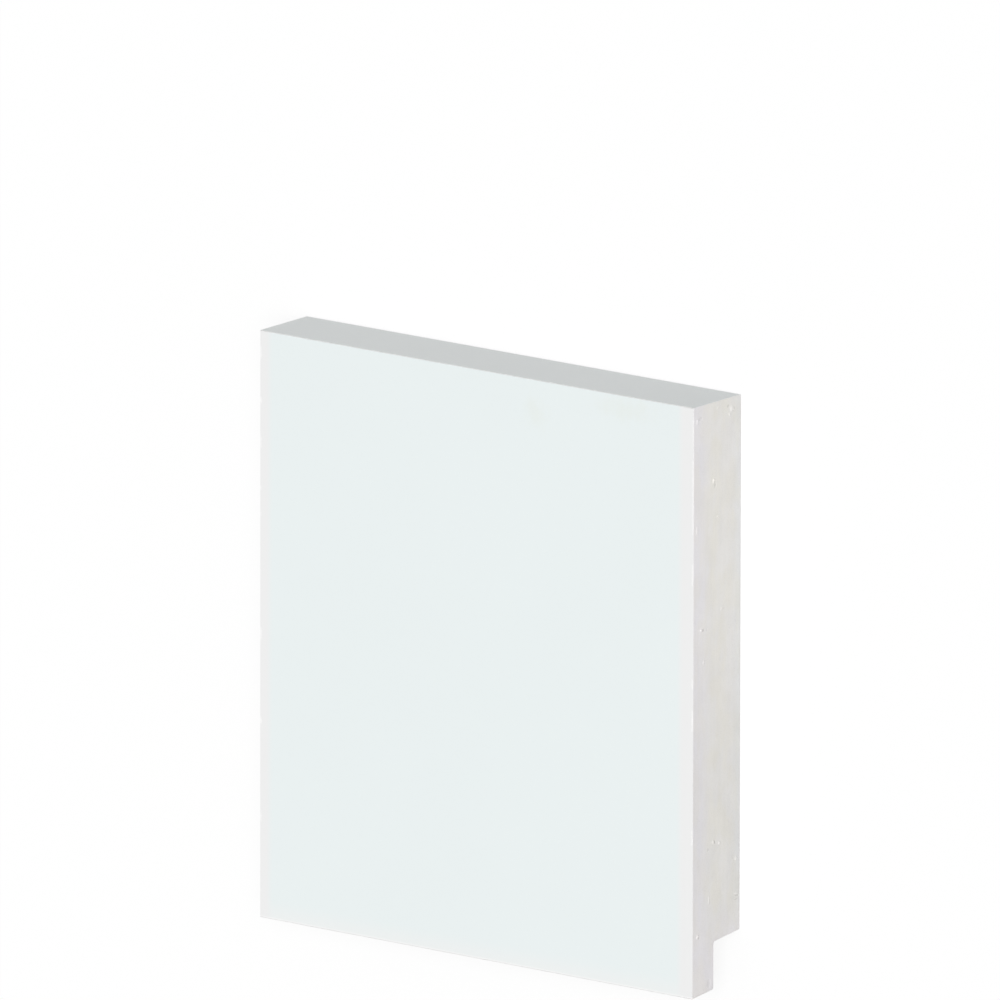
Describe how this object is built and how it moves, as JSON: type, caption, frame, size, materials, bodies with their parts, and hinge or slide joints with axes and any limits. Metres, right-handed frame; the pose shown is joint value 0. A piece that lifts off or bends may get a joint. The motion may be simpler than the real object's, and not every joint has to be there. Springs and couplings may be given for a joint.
{
  "type": "skirting board",
  "caption": "Plain square-edged white skirting board: a short sawn length of light polymer board with a cable rebate along the lower back edge.",
  "frame": {"origin": "on the plane of the wall face, midway along the board and midway from its foot to its top edge", "axes": "the board lies on its back: +X along its length, +Y from its foot to its top edge, +Z out of its front face"},
  "size_m": [0.092, 0.102, 0.013],
  "materials": {
    "primed_polymer": "cool white matt primer on the front, top and foot, bare off-white foamed polymer on the sawn ends"
  },
  "bodies": {
    "root": {"skirting_board": "primed_polymer"}
  },
  "joints": []
}
